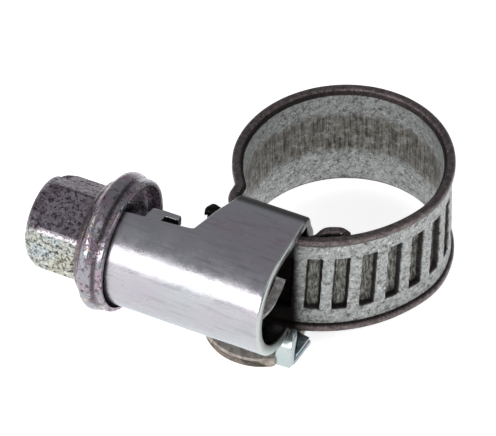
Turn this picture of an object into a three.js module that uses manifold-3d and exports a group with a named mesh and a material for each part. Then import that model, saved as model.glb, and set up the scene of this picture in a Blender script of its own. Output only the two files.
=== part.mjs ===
// Worm-drive hose clamp, 9 mm band, set at 14.6 mm inside the band.
// Millimetres, +Z up along the ring axis, +X along the screw from its head to its tip,
// +Y from the screw towards the middle of the ring.
import * as THREE from 'three';
import { mergeVertices } from 'three/addons/utils/BufferGeometryUtils.js';
import Module from 'manifold-3d';

const wasm = await Module();
wasm.setup();

// ---- band strip ----
const BAND_WIDTH = 9.0;
const BAND_SHEET = 0.65;
const RIM_HEIGHT = 0.7;
const RIM_FLARE = 0.25;
const RIM_INSET = 0.2;
const FIXED_SHEET = 0.42;

// ---- fixed end: down the housing's channel from the loop, with a turned-up tail ----
const FIXED_CLEARANCE = 0.05;
const FIXED_CHANNEL_ANGLES = [-0.2, -0.07, 0.07, 0.2, 0.34];
const NECK_TOP = new THREE.Vector3(-5.72, -5.4, 0);
const NECK_MIDDLE = new THREE.Vector3(-5.35, -6.5, 0);
const NECK_FOOT = new THREE.Vector3(-4.95, -7.4, 0);
const TAIL_FOOT = new THREE.Vector3(1.75, -7.25, 0);
const TAIL_RISE = new THREE.Vector3(2.3, -6.7, 0);
const TAIL_TURN = new THREE.Vector3(2.85, -6.35, 0);
const TAIL_TIP = new THREE.Vector3(3.25, -6.25, 0);
const FIXED_POINTS = 40;

// ---- loop: the part of the ring that stays with the housing ----
const LOOP_RX = 7.2;
const LOOP_RY = 7.43;
const SPLIT_Y = -1.0;
const SPLIT_GAP = 0.22;
const LOOP_START = Math.asin(SPLIT_Y / LOOP_RY);
const LOOP_END = THREE.MathUtils.degToRad(214);

// ---- threaded end: a circular arc that slides along itself through the housing ----
const ARC_X = -2.3;
const ARC_Y = 1.1;
const ARC_INNER = 9.6;
const ARC_OUTER = ARC_INNER + BAND_SHEET;
const ARC_TIP = THREE.MathUtils.degToRad(-25.5);
const TIP_CORNER = 1.2;

// ---- screw ----
const SCREW_Y = -11.25;
const SCREW_Z = 0.95;
const THREAD_LEAD = 1.95;
const THREAD_CREST = 2.42;
const THREAD_ROOT = 1.95;
const THREAD_CREST_WIDTH = 0.4;
const THREAD_ROOT_WIDTH = 0.75;
const THREAD_START = -6.6;
const THREAD_TURNS = 3.1;
const TIP_X = 0.0;
const TIP_CHAMFER = 0.4;
const HEX_FLATS = 6.35;
const HEX_END = -18.5;
const HEX_CHAMFER = 0.9;
const SLOT_WIDTH = 1.0;
const SLOT_DEPTH = 1.1;
const SLOT_TURN = THREE.MathUtils.degToRad(-44);
const COLLAR_FRONT = -13.95;
const COLLAR_BACK = -11.5;
const COLLAR_RADIUS = 5.3;
const COLLAR_FACE_RADIUS = 4.1;
const COLLAR_STEP_RADIUS = 4.35;
const COLLAR_SHOULDER_RADIUS = 4.95;
const COLLAR_LIP_RADIUS = 5.0;
const COLLAR_LIP_CHAMFER = 0.1;
const COLLAR_STEP = 0.35;
const COLLAR_BEAD_START = 0.5;
const COLLAR_BEAD_RISE = 0.35;
const COLLAR_BEAD_WIDTH = 0.4;
const COLLAR_BEAD_FALL = 0.3;
const COLLAR_LIP_WIDTH = 0.25;
const COLLAR_CUP_RADIUS = 4.6;
const COLLAR_CUP_DEPTH = 0.9;
const NECK_RADIUS = 2.8;
const NECK_END = -10.4;
const NECK_TAPER = 0.8;

// ---- grooves in the threaded end ----
const GROOVE_DEPTH = 0.48;
const GROOVE_WIDTH = 1.25;
const GROOVE_HEIGHT = 5.2;
const GROOVE_RADIUS = ARC_OUTER - GROOVE_DEPTH / 2;
const GROOVE_TILT = Math.atan(THREAD_LEAD / (2 * Math.PI * THREAD_CREST)) * 0.7;
const LOOP_GROOVES = 11;

// ---- housing ----
const SHEET = 0.85;
const HOUSING_LEFT = -11.9;
const HOUSING_RIGHT = 0.81;
const WING_TOP = 5.55;
const WING_BOTTOM = -5.55;
const FLOOR_Y = -6.85;
const FOLD_RADIUS = 0.9;
const FLOOR_LEFT = -4.1;
const FLOOR_CUT_FRONT_Y = 2.5;
const WING_LEFT_AT_FOLD = -4.42;
const WING_LEFT_AT_BARREL = -6.3;
const BARREL_EDGE_Y = -11.8;
const BARREL_RADIUS = 4.3;
const BARREL_END = THREE.MathUtils.degToRad(292);
const TAB_LEFT = -9.9;
const TAB_WIDTH = 2.25;
const TAB_TIP_Y = -10.55;
const CHANNEL_INNER = 8.95;
const CHANNEL_OUTER = 10.72;
const CHANNEL_HALF_HEIGHT = 4.62;
const APRON_FRONT = -12.65;
const APRON_SAG = 0.95;
const APRON_LEFT = -5.5;
const APRON_SET_BACK = 0.5;
const APRON_CUT_CLEARANCE = 0.2;

// ---- locking ear under the barrel's open end ----
const EAR_START = THREE.MathUtils.degToRad(248);
const EAR_SWEEP = THREE.MathUtils.degToRad(42);
const EAR_STEPS = 6;
const EAR_TOP_Y = 1.9;
const EAR_TOP_DROP = 4.3;
const EAR_BACK_Y = 2.3;
const EAR_FRONT_Y = 0.4;
const EAR_CORNER_Y = 1.0;
const EAR_CORNER_RISE = 0.6;
const EAR_BITE = 0.3;
const EAR_REACH = 0.55;

// ---- the two leaves of the apron's free corner ----
const LEAF_SHEET = 0.38;
const LEAF_GAP = 0.24;
const LEAF_THICKNESS = 0.28;
const LEAF_SET_BACK = 0.12;
const LEAF_ROOT = 0.5;
const LEAF_SHOULDER = 0.6;
const LEAF_REACH = 0.85;
const LEAF_FRONT_Y = 0.2;
const LEAF_ROOT_FRONT_Y = 0.6;
const LEAF_TIP_FRONT_Y = 0.8;
const LEAF_TIP_BACK_Y = 2.0;
const LEAF_BACK_Y = 2.7;
const LEAF_ROOT_BACK_Y = 2.9;

const CLEAR = 20;
const SEGMENTS = 40;

function toSolid(geometry) {
  const bare = geometry.clone();
  bare.deleteAttribute('normal');
  bare.deleteAttribute('uv');
  const merged = mergeVertices(bare, 1e-4);
  const vertProperties = new Float32Array(merged.attributes.position.array);
  const triVerts = new Uint32Array(merged.index.array);
  const solid = new wasm.Manifold(new wasm.Mesh({ numProp: 3, vertProperties, triVerts }));
  if (solid.volume() > 0) return solid;
  for (let i = 0; i < triVerts.length; i += 3) {
    [triVerts[i + 1], triVerts[i + 2]] = [triVerts[i + 2], triVerts[i + 1]];
  }
  return new wasm.Manifold(new wasm.Mesh({ numProp: 3, vertProperties, triVerts }));
}

function toGeometry(solid) {
  const mesh = solid.getMesh();
  const positions = new Float32Array(mesh.numVert * 3);
  for (let i = 0; i < mesh.numVert; i += 1) {
    for (let k = 0; k < 3; k += 1) positions[3 * i + k] = mesh.vertProperties[mesh.numProp * i + k];
  }
  const geometry = new THREE.BufferGeometry();
  geometry.setAttribute('position', new THREE.BufferAttribute(positions, 3));
  geometry.setIndex(new THREE.BufferAttribute(new Uint32Array(mesh.triVerts), 1));
  return geometry;
}

function node(name, solid, material) {
  const mesh = new THREE.Mesh(toGeometry(solid), material);
  mesh.name = name;
  return mesh;
}

// A flat outline in X and Y, raised from one height to another.
function prismZ(points, low, high) {
  const shape = new THREE.Shape(points.map(([x, y]) => new THREE.Vector2(x, y)));
  const geometry = new THREE.ExtrudeGeometry(shape, { depth: high - low, bevelEnabled: false });
  return toSolid(geometry.translate(0, 0, low));
}

// A flat outline in Y and Z, drawn along X.
function prismX(points, left, right) {
  const shape = new THREE.Shape(points.map(([y, z]) => new THREE.Vector2(y, z)));
  const geometry = new THREE.ExtrudeGeometry(shape, { depth: right - left, bevelEnabled: false });
  const basis = new THREE.Matrix4().makeBasis(
    new THREE.Vector3(0, 1, 0),
    new THREE.Vector3(0, 0, 1),
    new THREE.Vector3(1, 0, 0),
  );
  return toSolid(geometry.applyMatrix4(basis).translate(left, 0, 0));
}

function box(x0, x1, y0, y1, z0, z1) {
  const geometry = new THREE.BoxGeometry(x1 - x0, y1 - y0, z1 - z0);
  return toSolid(geometry.translate((x0 + x1) / 2, (y0 + y1) / 2, (z0 + z1) / 2));
}

// A profile of [radius, x] pairs turned about the screw's axis.
function turnedX(profile, segments = SEGMENTS) {
  const points = profile.map(([radius, x]) => new THREE.Vector2(radius, x));
  const geometry = new THREE.LatheGeometry(points, segments).rotateZ(-Math.PI / 2);
  return toSolid(geometry.translate(0, SCREW_Y, SCREW_Z));
}

// Both sides of a path, moved apart to give a strip between two offsets from it.
function stripOutline(path, inner, outer) {
  const side = (offset) => path.map(({ x, y, nx, ny }) => [x + offset * nx, y + offset * ny]);
  return [...side(inner), ...side(outer).reverse()];
}

// A band that follows a path in plan, with both long edges flared outwards.
function bandSolid(path, sheet, rims) {
  const half = BAND_WIDTH / 2;
  const web = rims ? half - RIM_HEIGHT + RIM_INSET : half;
  let solid = prismZ(stripOutline(path, 0, sheet), -web, web);
  if (!rims) return solid;
  const rim = stripOutline(path, RIM_INSET, sheet + RIM_FLARE);
  solid = solid.add(prismZ(rim, half - RIM_HEIGHT, half));
  return solid.add(prismZ(rim, -half, RIM_HEIGHT - half));
}

function arcPoint(radius, angle) {
  return [ARC_X + radius * Math.sin(angle), ARC_Y - radius * Math.cos(angle)];
}

function arcPath(from, to, steps, radius) {
  const path = [];
  for (let i = 0; i <= steps; i += 1) {
    const angle = from + ((to - from) * i) / steps;
    const [x, y] = arcPoint(radius, angle);
    path.push({ x, y, nx: Math.sin(angle), ny: -Math.cos(angle) });
  }
  return path;
}

function loopPath(steps) {
  const path = [];
  for (let i = 0; i <= steps; i += 1) {
    const angle = LOOP_START + ((LOOP_END - LOOP_START) * i) / steps;
    const normal = new THREE.Vector2(Math.cos(angle) / LOOP_RX, Math.sin(angle) / LOOP_RY).normalize();
    path.push({
      x: LOOP_RX * Math.cos(angle),
      y: LOOP_RY * Math.sin(angle),
      nx: normal.x,
      ny: normal.y,
    });
  }
  return path;
}

// The threads pressed into the band, each a slanted pocket across its outer face.
function groove(x, y, normalAngle) {
  const geometry = new THREE.BoxGeometry(GROOVE_WIDTH, 2 * GROOVE_DEPTH, GROOVE_HEIGHT);
  geometry.rotateY(GROOVE_TILT).rotateZ(normalAngle).translate(x, y, 0);
  return toSolid(geometry);
}

function grooveAngle(index) {
  return (index * THREAD_LEAD) / GROOVE_RADIUS;
}

function threadedBand() {
  const end = Math.acos((ARC_Y - SPLIT_Y) / ARC_OUTER) - SPLIT_GAP / ARC_OUTER;
  let solid = bandSolid(arcPath(ARC_TIP, end, 34, ARC_INNER), BAND_SHEET, true);
  const first = Math.ceil((ARC_TIP + 0.08) / grooveAngle(1));
  const last = Math.floor((end - 0.08) / grooveAngle(1));
  for (let index = first; index <= last; index += 1) {
    const angle = grooveAngle(index);
    const [x, y] = arcPoint(ARC_OUTER, angle);
    solid = solid.subtract(groove(x, y, angle));
  }
  return solid.subtract(tipCorners());
}

// The free end of the strip has both corners cut off.
function tipCorners() {
  const size = TIP_CORNER * Math.SQRT2;
  const [x, y] = arcPoint(ARC_OUTER - BAND_SHEET / 2, ARC_TIP);
  const corner = (z) => {
    const geometry = new THREE.BoxGeometry(size, 2 * TIP_CORNER, size).rotateY(Math.PI / 4);
    return toSolid(geometry.rotateZ(ARC_TIP).translate(x, y, z));
  };
  return corner(BAND_WIDTH / 2).add(corner(-BAND_WIDTH / 2));
}

// The fixed end: down from the ring, round the left end of the floor, along the floor under
// the threaded end, and out on the right as a short bowed tongue.
function fixedEndPath() {
  const fixedMid = CHANNEL_INNER + FIXED_CLEARANCE + FIXED_SHEET / 2;
  const loopEnd = loopPath(1)[1];
  const mid = BAND_SHEET / 2;
  const curve = new THREE.CatmullRomCurve3([
    new THREE.Vector3(loopEnd.x + mid * loopEnd.nx, loopEnd.y + mid * loopEnd.ny, 0),
    NECK_TOP,
    NECK_MIDDLE,
    NECK_FOOT,
    ...FIXED_CHANNEL_ANGLES.map((angle) => new THREE.Vector3(...arcPoint(fixedMid, angle), 0)),
    TAIL_FOOT,
    TAIL_RISE,
    TAIL_TURN,
    TAIL_TIP,
  ]);
  return curve.getSpacedPoints(FIXED_POINTS).map((point, i) => {
    const tangent = curve.getTangentAt(i / FIXED_POINTS);
    return { x: point.x, y: point.y, nx: tangent.y, ny: -tangent.x };
  });
}

function bandLoop() {
  const steps = 56;
  let solid = bandSolid(loopPath(steps), BAND_SHEET, true);
  const end = Math.acos((ARC_Y - SPLIT_Y) / ARC_OUTER);
  const lastIndex = Math.floor((end - 0.08) / grooveAngle(1));
  const phase = (lastIndex + 1) * THREAD_LEAD - end * GROOVE_RADIUS;
  const meanRadius = (LOOP_RX + LOOP_RY) / 2 + BAND_SHEET - GROOVE_DEPTH / 2;
  for (let i = 0; i < LOOP_GROOVES; i += 1) {
    const angle = LOOP_START + (phase + i * THREAD_LEAD) / meanRadius;
    const normal = new THREE.Vector2(Math.cos(angle) / LOOP_RX, Math.sin(angle) / LOOP_RY).normalize();
    const x = LOOP_RX * Math.cos(angle) + BAND_SHEET * normal.x;
    const y = LOOP_RY * Math.sin(angle) + BAND_SHEET * normal.y;
    solid = solid.subtract(groove(x, y, Math.atan2(normal.y, normal.x) + Math.PI / 2));
  }
  const half = FIXED_SHEET / 2;
  const path = fixedEndPath();
  const fixedEnd = prismZ(stripOutline(path, -half, half), -BAND_WIDTH / 2, BAND_WIDTH / 2);
  return solid.add(fixedEnd);
}

// The middle of the housing sheet in Y and Z: apron, floor, wing and barrel in one run.
function housingPath() {
  const mid = SHEET / 2;
  const path = [];
  const add = (y, z, ny, nz) => path.push({ x: y, y: z, nx: ny, ny: nz });
  const bend = (cy, cz, radius, from, to, steps) => {
    for (let i = 0; i <= steps; i += 1) {
      const angle = from + ((to - from) * i) / steps;
      const [c, s] = [Math.cos(angle), Math.sin(angle)];
      add(cy + radius * c, cz + radius * s, c, s);
    }
  };
  const foldMid = FOLD_RADIUS - mid;
  const top = WING_TOP - FOLD_RADIUS;
  const bottom = WING_BOTTOM + FOLD_RADIUS;
  const foldY = FLOOR_Y - FOLD_RADIUS;
  add(APRON_FRONT, WING_BOTTOM + mid, 0, -1);
  bend(foldY, bottom, foldMid, -Math.PI / 2, 0, 5);
  bend(foldY, top, foldMid, 0, Math.PI / 2, 5);
  const barrelMid = BARREL_RADIUS - mid;
  const dy = foldY - SCREW_Y;
  const dz = WING_TOP - mid - SCREW_Z;
  const tangent = Math.atan2(dz, dy) + Math.acos(barrelMid / Math.hypot(dy, dz));
  bend(SCREW_Y, SCREW_Z, barrelMid, tangent, BARREL_END, 30);
  return path;
}

function channel() {
  const h = CHANNEL_HALF_HEIGHT;
  const profile = [
    [CHANNEL_INNER, -h],
    [CHANNEL_OUTER, -h],
    [CHANNEL_OUTER, h],
    [CHANNEL_INNER, h],
    [CHANNEL_INNER, -h],
  ].map(([radius, z]) => new THREE.Vector2(radius, z));
  const geometry = new THREE.LatheGeometry(profile, 120).rotateX(Math.PI / 2);
  return toSolid(geometry.translate(ARC_X, ARC_Y, 0));
}

// The apron under the barrel narrows to the left and ends in a shallow curved edge.
function apronTrim() {
  const right = HOUSING_RIGHT - APRON_SET_BACK;
  const steps = 10;
  const edge = [];
  for (let i = 0; i <= steps; i += 1) {
    const across = i / steps;
    const x = APRON_LEFT + (right - APRON_LEFT) * across;
    edge.push([x, APRON_FRONT + APRON_SAG * (2 * across - 1) ** 2]);
  }
  const outline = [
    [WING_LEFT_AT_FOLD, FLOOR_Y + CLEAR],
    [WING_LEFT_AT_FOLD, FLOOR_Y],
    ...edge,
    [right, SCREW_Y],
    [CLEAR, SCREW_Y],
    [CLEAR, -CLEAR],
    [-CLEAR, -CLEAR],
    [-CLEAR, FLOOR_Y + CLEAR],
  ];
  return prismZ(outline, -CLEAR, WING_BOTTOM + SHEET + APRON_CUT_CLEARANCE);
}

// Left of the saddle the sheet ends at the top of the barrel.
function leftTrim() {
  const outline = [
    [-CLEAR, BARREL_EDGE_Y],
    [WING_LEFT_AT_BARREL, BARREL_EDGE_Y],
    [WING_LEFT_AT_FOLD, FLOOR_Y],
    [WING_LEFT_AT_FOLD, FLOOR_Y + CLEAR],
    [-CLEAR, FLOOR_Y + CLEAR],
  ];
  return prismZ(outline, -CLEAR, CLEAR);
}

// The locking ear: bent up from the apron against the open end of the barrel.
function lockingEar() {
  const ear = [];
  const inner = BARREL_RADIUS - SHEET;
  for (let i = 0; i <= EAR_STEPS; i += 1) {
    const angle = EAR_START + (EAR_SWEEP * i) / EAR_STEPS;
    ear.push([SCREW_Y + inner * Math.cos(angle), SCREW_Z + inner * Math.sin(angle)]);
  }
  ear.push([SCREW_Y + EAR_TOP_Y, SCREW_Z - EAR_TOP_DROP]);
  ear.push([SCREW_Y + EAR_BACK_Y, WING_BOTTOM]);
  ear.push([SCREW_Y - EAR_FRONT_Y, WING_BOTTOM]);
  ear.push([SCREW_Y - EAR_CORNER_Y, WING_BOTTOM + EAR_CORNER_RISE]);
  return prismX(ear, HOUSING_RIGHT - EAR_BITE, HOUSING_RIGHT + EAR_REACH);
}

// Two thin leaves of the apron reach past the end of the barrel under the band.
function apronLeaves() {
  const outline = [
    [HOUSING_RIGHT - LEAF_ROOT, SCREW_Y + LEAF_ROOT_FRONT_Y],
    [HOUSING_RIGHT + LEAF_ROOT, SCREW_Y + LEAF_FRONT_Y],
    [HOUSING_RIGHT + LEAF_REACH, SCREW_Y + LEAF_TIP_FRONT_Y],
    [HOUSING_RIGHT + LEAF_REACH, SCREW_Y + LEAF_TIP_BACK_Y],
    [HOUSING_RIGHT + LEAF_SHOULDER, SCREW_Y + LEAF_BACK_Y],
    [HOUSING_RIGHT - LEAF_ROOT, SCREW_Y + LEAF_ROOT_BACK_Y],
  ];
  const upperBase = WING_BOTTOM + LEAF_SHEET + LEAF_GAP;
  const lower = prismZ(outline, WING_BOTTOM, WING_BOTTOM + LEAF_SHEET);
  const upperOutline = outline.map(([x, y]) => [x - LEAF_SET_BACK, y]);
  const upper = prismZ(upperOutline, upperBase, upperBase + LEAF_THICKNESS);
  return lower.add(upper);
}

// A small L-shaped tab left standing on the edge of the barrel, behind the collar.
function endTab() {
  const top = SCREW_Z + BARREL_RADIUS - 0.2;
  const stem = box(TAB_LEFT, TAB_LEFT + TAB_WIDTH / 2, BARREL_EDGE_Y - 0.5, TAB_TIP_Y, top - SHEET, top);
  const arm = box(TAB_LEFT, TAB_LEFT + TAB_WIDTH, TAB_TIP_Y - 0.5, TAB_TIP_Y, top - SHEET, top);
  return stem.add(arm);
}

function housing() {
  const half = SHEET / 2;
  const outline = stripOutline(housingPath(), -half, half);
  let solid = prismX(outline, HOUSING_LEFT, HOUSING_RIGHT);
  solid = solid.subtract(apronTrim()).subtract(leftTrim());
  const besideFloor = box(
    -CLEAR,
    FLOOR_LEFT,
    SCREW_Y + FLOOR_CUT_FRONT_Y,
    CLEAR,
    -CHANNEL_HALF_HEIGHT,
    CHANNEL_HALF_HEIGHT,
  );
  solid = solid.subtract(besideFloor);
  solid = solid.subtract(channel());
  return solid.add(endTab()).add(lockingEar()).add(apronLeaves());
}

// The raised thread: a trapezoid drawn round the screw while it advances by one lead a turn.
function threadSolid() {
  const perTurn = 28;
  const steps = Math.round(THREAD_TURNS * perTurn);
  const sink = 0.25;
  const section = [
    [THREAD_ROOT - sink, -THREAD_ROOT_WIDTH / 2],
    [THREAD_CREST, -THREAD_CREST_WIDTH / 2],
    [THREAD_CREST, THREAD_CREST_WIDTH / 2],
    [THREAD_ROOT - sink, THREAD_ROOT_WIDTH / 2],
  ];
  const count = section.length;
  const positions = [];
  const index = [];
  const phase = ((THREAD_START - ARC_X) / THREAD_LEAD) * 2 * Math.PI;
  for (let i = 0; i <= steps; i += 1) {
    const angle = (i / perTurn) * 2 * Math.PI;
    const x = THREAD_START + (THREAD_LEAD * i) / perTurn;
    for (const [radius, offset] of section) {
      const turn = angle + phase;
      positions.push(x + offset, SCREW_Y + radius * Math.cos(turn), SCREW_Z + radius * Math.sin(turn));
    }
  }
  for (let i = 0; i < steps; i += 1) {
    for (let k = 0; k < count; k += 1) {
      const a = i * count + k;
      const b = i * count + ((k + 1) % count);
      index.push(a, b, a + count, b, b + count, a + count);
    }
  }
  const last = steps * count;
  index.push(0, 2, 1, 0, 3, 2);
  index.push(last, last + 1, last + 2, last, last + 2, last + 3);
  const geometry = new THREE.BufferGeometry();
  geometry.setAttribute('position', new THREE.Float32BufferAttribute(positions, 3));
  geometry.setIndex(index);
  return toSolid(geometry);
}

function hexHead() {
  const radius = HEX_FLATS / Math.sqrt(3);
  const corners = [];
  for (let i = 0; i < 6; i += 1) {
    const angle = ((i + 0.5) * Math.PI) / 3;
    corners.push([SCREW_Y + radius * Math.cos(angle), SCREW_Z + radius * Math.sin(angle)]);
  }
  const prism = prismX(corners, HEX_END, COLLAR_FRONT + 0.6);
  const chamfer = turnedX([
    [0, HEX_END],
    [HEX_FLATS / 2 - 0.35, HEX_END],
    [radius + 0.05, HEX_END + HEX_CHAMFER],
    [radius + 0.05, COLLAR_FRONT + 1],
    [0, COLLAR_FRONT + 1],
  ]);
  const slotBox = new THREE.BoxGeometry(2 * SLOT_DEPTH, SLOT_WIDTH, CLEAR).rotateX(SLOT_TURN);
  const slot = toSolid(slotBox.translate(HEX_END, SCREW_Y, SCREW_Z));
  return prism.intersect(chamfer).subtract(slot);
}

function collarAndCore() {
  const cupFloor = COLLAR_BACK - COLLAR_CUP_DEPTH;
  const beadStart = COLLAR_FRONT + COLLAR_BEAD_START;
  const beadTop = beadStart + COLLAR_BEAD_RISE;
  const beadEnd = beadTop + COLLAR_BEAD_WIDTH;
  return turnedX([
    [0, COLLAR_FRONT],
    [COLLAR_FACE_RADIUS, COLLAR_FRONT],
    [COLLAR_STEP_RADIUS, COLLAR_FRONT + COLLAR_STEP],
    [COLLAR_SHOULDER_RADIUS, beadStart],
    [COLLAR_RADIUS, beadTop],
    [COLLAR_RADIUS, beadEnd],
    [COLLAR_LIP_RADIUS, beadEnd + COLLAR_BEAD_FALL],
    [COLLAR_LIP_RADIUS, COLLAR_BACK - COLLAR_LIP_WIDTH],
    [COLLAR_LIP_RADIUS - COLLAR_LIP_CHAMFER, COLLAR_BACK],
    [COLLAR_CUP_RADIUS, COLLAR_BACK],
    [COLLAR_CUP_RADIUS, cupFloor],
    [NECK_RADIUS, cupFloor],
    [NECK_RADIUS, NECK_END],
    [THREAD_ROOT, NECK_END + NECK_TAPER],
    [THREAD_ROOT, TIP_X - TIP_CHAMFER],
    [THREAD_ROOT - TIP_CHAMFER, TIP_X],
    [0, TIP_X],
  ], 48);
}

const plated = new THREE.MeshStandardMaterial({ color: 0x9c9aa2, roughness: 0.32, metalness: 1.0 });
const galvanised = new THREE.MeshStandardMaterial({ color: 0xa3a8a4, roughness: 0.5, metalness: 0.9 });
const headPlating = new THREE.MeshStandardMaterial({ color: 0x8a8480, roughness: 0.4, metalness: 1.0 });

const clamp = new THREE.Group();
clamp.add(node('worm_screw', hexHead().add(collarAndCore()).add(threadSolid()), headPlating));
clamp.add(node('housing', housing(), plated));
clamp.add(node('band_loop', bandLoop(), galvanised));
clamp.add(node('band_threaded', threadedBand(), galvanised));

// The origin is the middle of the bottom of the whole clamp's bounding box.
const bounds = new THREE.Box3().setFromObject(clamp, true);
const middle = bounds.getCenter(new THREE.Vector3());
clamp.position.set(-middle.x, -middle.y, -bounds.min.z);

export default clamp;
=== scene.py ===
"""Looks of the worm-drive hose clamp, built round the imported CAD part.

Shapes are laid out in millimetres in a frame centred on the ring: +X along the screw from its
head to its tip, +Y from the screw to the ring's middle, +Z along the ring's axis.
"""

import math

import bmesh
import bpy
import numpy as np
from mathutils import Matrix, Vector


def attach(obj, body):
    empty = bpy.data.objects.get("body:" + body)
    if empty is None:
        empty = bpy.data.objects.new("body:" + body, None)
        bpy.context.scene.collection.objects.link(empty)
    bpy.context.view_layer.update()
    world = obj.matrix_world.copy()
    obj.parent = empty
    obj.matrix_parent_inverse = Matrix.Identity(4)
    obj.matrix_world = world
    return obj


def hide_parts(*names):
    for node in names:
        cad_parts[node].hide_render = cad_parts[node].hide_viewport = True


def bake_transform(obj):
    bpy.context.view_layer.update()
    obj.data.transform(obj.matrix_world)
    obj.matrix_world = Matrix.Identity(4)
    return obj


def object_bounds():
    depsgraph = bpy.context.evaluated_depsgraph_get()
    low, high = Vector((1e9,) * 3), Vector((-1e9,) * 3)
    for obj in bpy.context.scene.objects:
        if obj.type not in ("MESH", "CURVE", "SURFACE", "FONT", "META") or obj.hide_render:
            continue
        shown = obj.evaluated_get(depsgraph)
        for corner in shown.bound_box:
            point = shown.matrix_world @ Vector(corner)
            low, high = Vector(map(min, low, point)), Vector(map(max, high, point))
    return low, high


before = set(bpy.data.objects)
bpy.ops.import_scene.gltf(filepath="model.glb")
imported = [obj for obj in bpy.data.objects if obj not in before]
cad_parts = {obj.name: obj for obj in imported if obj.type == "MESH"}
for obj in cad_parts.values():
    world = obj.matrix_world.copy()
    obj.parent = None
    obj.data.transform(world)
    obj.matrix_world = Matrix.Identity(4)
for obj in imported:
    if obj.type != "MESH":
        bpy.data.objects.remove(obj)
cad_low, cad_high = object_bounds()

MM = 0.001
RING_CENTRE = np.array((5.2, 4.111, 5.55))
SCREW_AXIS = (-11.25, 0.95)

BAND_HALF = 4.5
RING_RX, RING_RY = 7.48, 7.75
ARC_CENTRE = np.array((-2.3, 1.1))
ARC_MID = 9.9
PITCH = 1.955
THREAD_TILT = math.tan(math.radians(3.5))
GROOVE_HALF = 0.50
GROOVE_HALF_HEIGHT = 2.42
GROOVE_MID_Z = 0.05
GROOVE_DEPTH = 0.45
GROOVE_EDGE = 0.13
GROOVE_CORE_EDGE = 0.42
GROOVE_SOFT_EDGE = 0.5
GROOVE_LIP = 0.025
GROOVE_BULGE = 0.08
# Painted shade in the creases beside the rolled edges: rim points below this height on the outer side, or
# past this offset on the inner side.
CREASE_SHADE_HEIGHT = 3.93
CREASE_SHADE_OFFSET = -0.1
# Painted shade on the grooved strip where it runs through the housing: where it starts, how fast it comes
# in, and where it thins towards the tip.
SHADE_START, SHADE_FADE, SHADE_THINS = -1.62, 0.35, 2.5
FLAT_RIM = 0.2
FIXED_WIDTH = 0.85
FIXED_THINNING = 0.34
SADDLE_RADIUS = 9.2
TIP_ROUND = 0.9


def to_row(points):
    return (np.asarray(points, float) + RING_CENTRE) * MM


def smoothstep(t):
    t = np.clip(t, 0.0, 1.0)
    return t * t * (3 - 2 * t)


# ---------------------------------------------------------------- meshes

def loft(rows, cap=True):
    """Vertices and faces of a skin through closed sections with the same number of points."""
    rows = np.asarray(rows, float)
    n, m = rows.shape[:2]
    faces = []
    for i in range(n - 1):
        for j in range(m):
            k = (j + 1) % m
            faces.append((i * m + j, i * m + k, (i + 1) * m + k, (i + 1) * m + j))
    if cap:
        faces.append(tuple(range(m))[::-1])
        faces.append(tuple(range((n - 1) * m, n * m)))
    return rows.reshape(-1, 3), faces


def joined(*shells):
    verts, faces, base = [], [], 0
    for v, f in shells:
        verts.append(np.asarray(v, float))
        faces += [tuple(i + base for i in face) for face in f]
        base += len(v)
    return np.concatenate(verts), faces


def piece(name, shell, material, sharp=38.0, **fields):
    verts, faces = shell
    mesh = bpy.data.meshes.new(name)
    mesh.from_pydata(to_row(verts).tolist(), [], faces)
    for key, values in fields.items():
        values = np.asarray(values, float)
        kind = "FLOAT_VECTOR" if values.ndim == 2 else "FLOAT"
        layer = mesh.attributes.new(key, kind, "POINT")
        layer.data.foreach_set("vector" if values.ndim == 2 else "value", values.ravel())
    bm = bmesh.new()
    bm.from_mesh(mesh)
    bmesh.ops.recalc_face_normals(bm, faces=bm.faces)
    for face in bm.faces:
        face.smooth = True
    for edge in bm.edges:
        if len(edge.link_faces) == 2:
            edge.smooth = edge.calc_face_angle(0.0) < math.radians(sharp)
    bm.to_mesh(mesh)
    bm.free()
    mesh.materials.append(material)
    obj = bpy.data.objects.new(name, mesh)
    bpy.context.collection.objects.link(obj)
    return obj


def along(points, step):
    """A smooth curve through the points, at even steps: positions and arc lengths."""
    points = np.asarray(points, float)
    padded = np.concatenate([[2 * points[0] - points[1]], points, [2 * points[-1] - points[-2]]])
    fine = []
    for i in range(1, len(padded) - 2):
        p0, p1, p2, p3 = padded[i - 1:i + 3]
        t = np.linspace(0, 1, 24, endpoint=False)[:, None]
        fine.append(0.5 * (2 * p1 + (p2 - p0) * t + (2 * p0 - 5 * p1 + 4 * p2 - p3) * t ** 2
                           + (3 * p1 - p0 - 3 * p2 + p3) * t ** 3))
    fine.append(points[-1:])
    return even(np.concatenate(fine), step)


def even(path, step):
    lengths = np.concatenate([[0], np.cumsum(np.linalg.norm(np.diff(path, axis=0), axis=1))])
    count = max(2, int(round(lengths[-1] / step)) + 1)
    at = np.linspace(0, lengths[-1], count)
    return np.stack([np.interp(at, lengths, path[:, k]) for k in range(path.shape[1])], 1), at


def normals_of(path, side):
    tangent = np.gradient(path, axis=0)
    tangent /= np.linalg.norm(tangent, axis=1)[:, None]
    return side * np.stack([-tangent[:, 1], tangent[:, 0]], 1)


# ---------------------------------------------------------------- the band

RIM = [(3.80, .24), (3.86, .26), (3.91, .38), (3.98, .49), (4.08, .53), (4.3, .53), (4.42, .50),
       (4.48, .43), (4.5, .33), (4.5, .2), (4.5, .08), (4.47, -.02), (4.40, -.08), (4.3, -.12),
       (4.2, -.22), (4.12, -.28)]


def band_profile(outer=64, inner=40):
    """The strip's section as (height, offset, outer face, inner face) points."""
    z_out = np.linspace(-3.75, 3.75, outer)
    z_in = np.linspace(4.05, -4.05, inner)
    points = [(z, .3, 1, 0) for z in z_out]
    points += [(z, o, 0, 0) for z, o in RIM]
    points += [(z, -.3, 0, 1) for z in z_in]
    points += [(-z, o, 0, 0) for z, o in RIM[::-1]]
    return np.array(points)


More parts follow.
